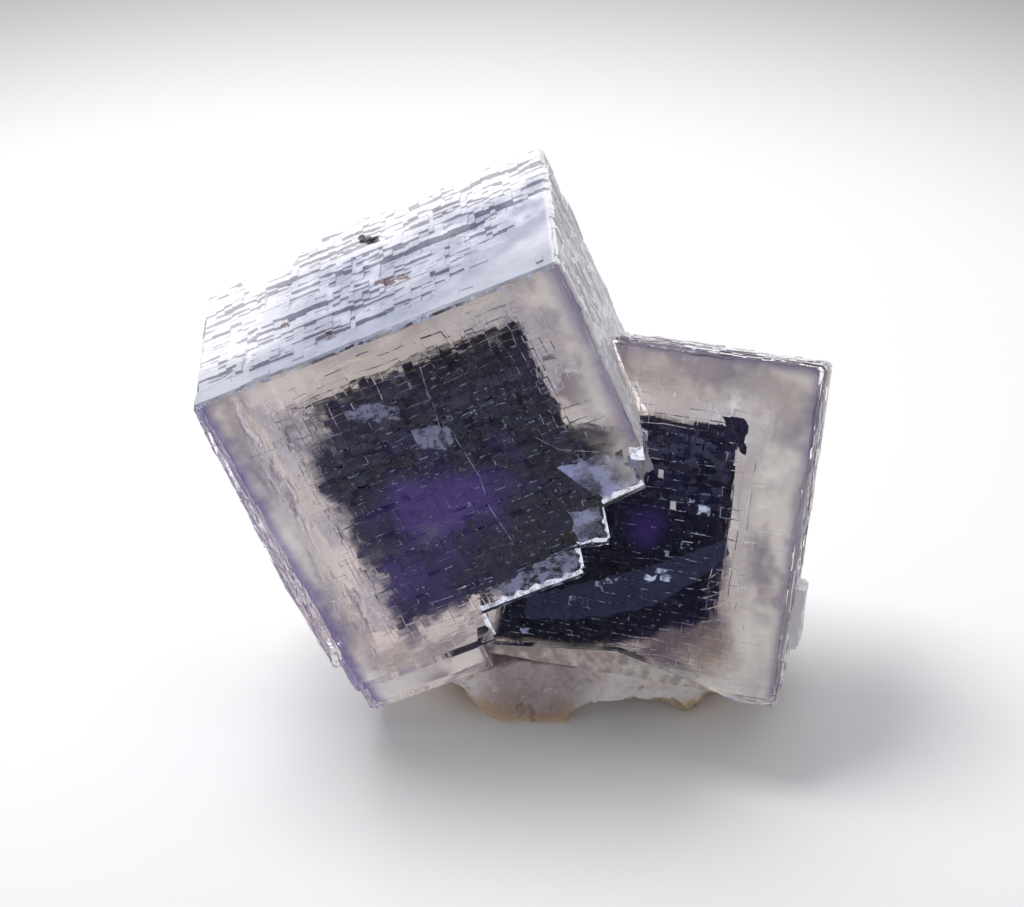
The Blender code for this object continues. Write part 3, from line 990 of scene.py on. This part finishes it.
def stone_finish():
    """Pinkish broken stone, ochre along its foot, with rusty patches, painted shade darkening its middle
    under the crystals, and pale specks.
    """
    made, tree, shader = new_finish("matrix stone")
    place = object_place(tree)
    patches = noise_value(tree, place, 190, 5.0, 0.6)
    colour = blend(tree, ramp(tree, patches, 0.35, 0.65), (0.82, 0.68, 0.67), (1.0, 0.95, 0.94))
    stained = maths(tree, "ADD", split(tree, place)[2], spread(tree, patches, 0.012))
    colour = blend(tree, ramp(tree, stained, -0.0004, 0.0030, 0.85, 0.0), colour, (0.72, 0.54, 0.34))
    rust = ramp(tree, noise_value(tree, place, 420, 4.0, 0.6), 0.56, 0.68, 0.0, 0.7)
    colour = blend(tree, rust, colour, (0.40, 0.25, 0.18))
    # Painted shade: the middle of the stone, under the crystals, darker
    from_middle = vector_maths(tree, "DISTANCE", place, (0.0015, -0.0085, 0.0050))
    colour = blend(tree, ramp(tree, from_middle, 0.0075, 0.0030, 0.0, 0.60), colour, (0.24, 0.16, 0.17))
    specks = ramp(tree, noise_value(tree, place, 1100, 2.0), 0.62, 0.72)
    colour = blend(tree, maths(tree, "MULTIPLY", specks, 0.35), colour, (0.90, 0.86, 0.82))
    feed(tree, shader, {"Base Color": colour, "Roughness": 0.45, "Subsurface Weight": 0.15,
                        "Subsurface Radius": (1.0, 0.6, 0.45), "Subsurface Scale": 0.0028})
    return made


def floor_finish():
    """Pale, with painted shade that makes it darker away from the specimen and out in front of the picture.
    """
    made, tree, shader = new_finish("pale floor")
    place = object_place(tree)
    away = vector_maths(tree, "DISTANCE", place, (0.0, 0.055, 0.0))
    colour = blend(tree, ramp(tree, away, 0.07, 0.23), (0.89, 0.89, 0.89), (0.33, 0.33, 0.325))
    colour = blend(tree, ramp(tree, split(tree, place)[1], -0.050, -0.110), colour, (0.38, 0.38, 0.39))
    feed(tree, shader, {"Base Color": colour, "Roughness": 0.9, "Specular IOR Level": 0.0})
    return made


# Stage, lights and camera

def set_stage():
    bm = bmesh.new()
    bmesh.ops.create_grid(bm, x_segments=1, y_segments=1, size=2.5)
    floor = add_piece("floor", bm, None)
    floor.data.materials.append(floor_finish())


def area_light(name, place, aim, size, power):
    data = bpy.data.lights.new(name, "AREA")
    data.shape = "RECTANGLE"
    data.size, data.size_y = size
    data.energy = power
    lamp = bpy.data.objects.new(name, data)
    lamp.location = place
    lamp.rotation_euler = (Vector(aim) - Vector(place)).to_track_quat("-Z", "Y").to_euler()
    bpy.context.scene.collection.objects.link(lamp)


def set_lights():
    """Light from all round, weaker from the camera's side so that the faces reflect little, and one lamp."""
    world = bpy.data.worlds.new("soft studio")
    bpy.context.scene.world = world
    world.use_nodes = True
    background = world.node_tree.nodes["Background"]
    background.inputs["Color"].default_value = (0.95, 0.97, 1.0, 1)
    tree = world.node_tree
    direction = add_node(tree, "ShaderNodeTexCoord").outputs["Generated"]
    strength = ramp(tree, split(tree, direction)[1], -0.85, 0.05, 0.22, 0.72)
    tree.links.new(strength, background.inputs["Strength"])
    area_light("overhead", (-0.15, 0.11, 0.39), (0.0, 0.03, 0.0), (0.20, 0.20), 1.26)


def set_camera():
    data = bpy.data.cameras.new("camera")
    data.sensor_width = SENSOR_MM
    data.lens = FOCAL_PIXELS * SENSOR_MM / PICTURE_WIDTH
    data.clip_start = 0.005
    camera = bpy.data.objects.new("camera", data)
    camera.location = CAMERA_PLACE
    camera.rotation_euler = (math.radians(90 - CAMERA_DOWN_DEG), 0, 0)
    bpy.context.scene.collection.objects.link(camera)
    bpy.context.scene.camera = camera
    bpy.context.scene.view_settings.view_transform = "Standard"


# The hearts, the veils and the plates, placed along each cube's own axes

BIG_HEART = (0.0056, 0.0030, 0.0066), (0.0302, 0.0190, 0.0350)
SMALL_HEART = (0.0006, 0.0022, 0.0014), (0.0222, 0.0140, 0.0258)
SMALL_CLEAR_LOW = (0.0006, 0.0022, 0.0040)  # the veil starts to hide the small heart below this
HEART_BLOCK, HEART_RISE = 0.0013, 0.00012
VEIL_BLOCK, VEIL_RISE = 0.0018, 0.00008
VEIL_GAP = 0.0006  # between a veil and its cube's faces
VIOLET, INDIGO = (0.19, 0.09, 0.60), (0.035, 0.024, 0.150)


def set_hearts():
    """The near-black zone in each cube; each glow has a place, a size, a strength and a colour."""
    finish = heart_finish(
        "big heart", BIG_CORNER, BIG_TURN_DEG, *BIG_HEART, feather=0.0022, top_softness=3.2, foot_slope=0.0,
        hollow=None,
        glows=[((0.0130, 0.0035, 0.0150), 0.0145, 0.95, INDIGO),
               ((0.0166, 0.0035, 0.0188), 0.0085, 0.9, VIOLET),
               ((0.0100, 0.0035, 0.0120), 0.0050, 0.5, VIOLET)])
    growth_zone("big_heart", *BIG_HEART, HEART_BLOCK, HEART_RISE, lean=(0.14, 0.40), matrix=BIG_MATRIX,
                seed=3, cutters=big_cutters(0.0010), finish=finish)
    finish = heart_finish(
        "small heart", SMALL_CORNER, SMALL_TURN_DEG, *SMALL_HEART, feather=0.0010, top_softness=1.2,
        foot_slope=0.42, hollow=SHELL_REACH - 0.0002,
        glows=[((0.0142, 0.0025, 0.0160), 0.0060, 0.7, INDIGO),
               ((0.0146, 0.0025, 0.0150), 0.0030, 0.6, VIOLET),
               ((0.0190, 0.0025, 0.0040), 0.0050, 0.6, INDIGO)])
    growth_zone("small_heart", *SMALL_HEART, HEART_BLOCK, HEART_RISE, lean=(0.10, 0.12), matrix=SMALL_MATRIX,
                seed=4, cutters=[foot_cutter(FOOT_CLEAR_DEPTH, 0.0006), under_shell()], finish=finish)


def set_veils():
    """The cloud in each cube; a stain has an axis, where it starts and stops along that, and a strength."""
    finish = veil_finish(
        "big_veil", BIG_CORNER, BIG_TURN_DEG, *BIG_HEART, cover=0.96, glow=0.32, clear_near=(0.0027, 0.0054),
        stains=[(0, 0.0006, 0.0022, 0.80), (0, 0.0356, 0.0336, 0.60)],
        painted_light_spots=[((0.0035, 0.0020, 0.0225), 0.0080, 0.85), ((0.0335, 0.0020, 0.0275), 0.0060, 0.8),
                      ((0.0030, 0.0015, 0.0020), 0.0050, 0.8)])
    growth_zone("big_veil", [VEIL_GAP] * 3, [length - VEIL_GAP for length in BIG_SIZE], VEIL_BLOCK,
                VEIL_RISE, lean=(0.0, 0.0), matrix=BIG_MATRIX, seed=6, cutters=big_cutters(VEIL_GAP),
                finish=finish)
    finish = veil_finish(
        "small_veil", SMALL_CORNER, SMALL_TURN_DEG, SMALL_CLEAR_LOW, SMALL_HEART[1], cover=0.88, glow=0.21,
        clear_near=(0.0019, 0.0038), stains=[(0, 0.0290, 0.0276, 0.6), (2, 0.0324, 0.0312, 0.7)],
        painted_light_spots=[((0.0240, 0.0025, 0.0045), 0.0070, 0.95), ((0.0195, 0.0035, 0.0020), 0.0050, 0.9),
                      ((0.0260, 0.0025, 0.0210), 0.0050, 0.6)])
    growth_zone("small_veil", [VEIL_GAP] * 3, [length - VEIL_GAP for length in SMALL_SIZE], VEIL_BLOCK,
                VEIL_RISE, lean=(0.05, 0.04), matrix=SMALL_MATRIX, seed=6, finish=finish,
                cutters=[big_block(0.0003), foot_cutter(FOOT_CLEAR_DEPTH), shell_break(0.0007)])


def set_plates():
    """What catches the light just under the front faces, each kind at its own depth."""
    ledges, cracks = ledge_and_crack_light()
    under_front("lit_ledges", ledges, 0.00028, BIG_MATRIX,
                caught_light_finish("light caught on ledges", (0.90, 0.92, 1.0), 0.25, 0.95, 0.45))
    under_front("fine_cracks", cracks, 0.00050, BIG_MATRIX,
                caught_light_finish("fine cracks", (0.70, 0.72, 0.85), 0.0, 0.50, 0.25, 700.0))
    plates, sheens = pale_plates()
    under_front("sheens", sheens, 0.00060, BIG_MATRIX,
                caught_light_finish("sheens", (0.50, 0.53, 0.78), 0.0, 0.42, 0.20, 1500.0))
    under_front("pale_plates", plates, 0.00070, BIG_MATRIX,
                caught_light_finish("pale plates", (0.46, 0.49, 0.74), 0.08, 0.62, 0.26, 480.0))
    band, flecks, arcs = curved_band()
    under_front("curved_band", band, 0.00036, SMALL_MATRIX,
                caught_light_finish("curved band", (0.07, 0.08, 0.18), 0.40, 0.70, 0.10))
    under_front("arcs", arcs, 0.00030, SMALL_MATRIX,
                caught_light_finish("arcs", (0.80, 0.74, 0.72), 0.0, 0.45, 0.25))
    under_front("flecks", flecks, 0.00020, SMALL_MATRIX,
                caught_light_finish("flecks", (0.62, 0.68, 0.85), 0.1, 0.85, 0.4))


set_camera()
set_lights()
set_stage()
crystal = clear_crystal(clear_finish())
film("frost_coat", crystal, is_etched, frost_finish())
film("step_edge_glints", crystal, is_front_step, step_glint_finish())
set_hearts()
set_veils()
set_plates()
matrix_stone(stone_finish())
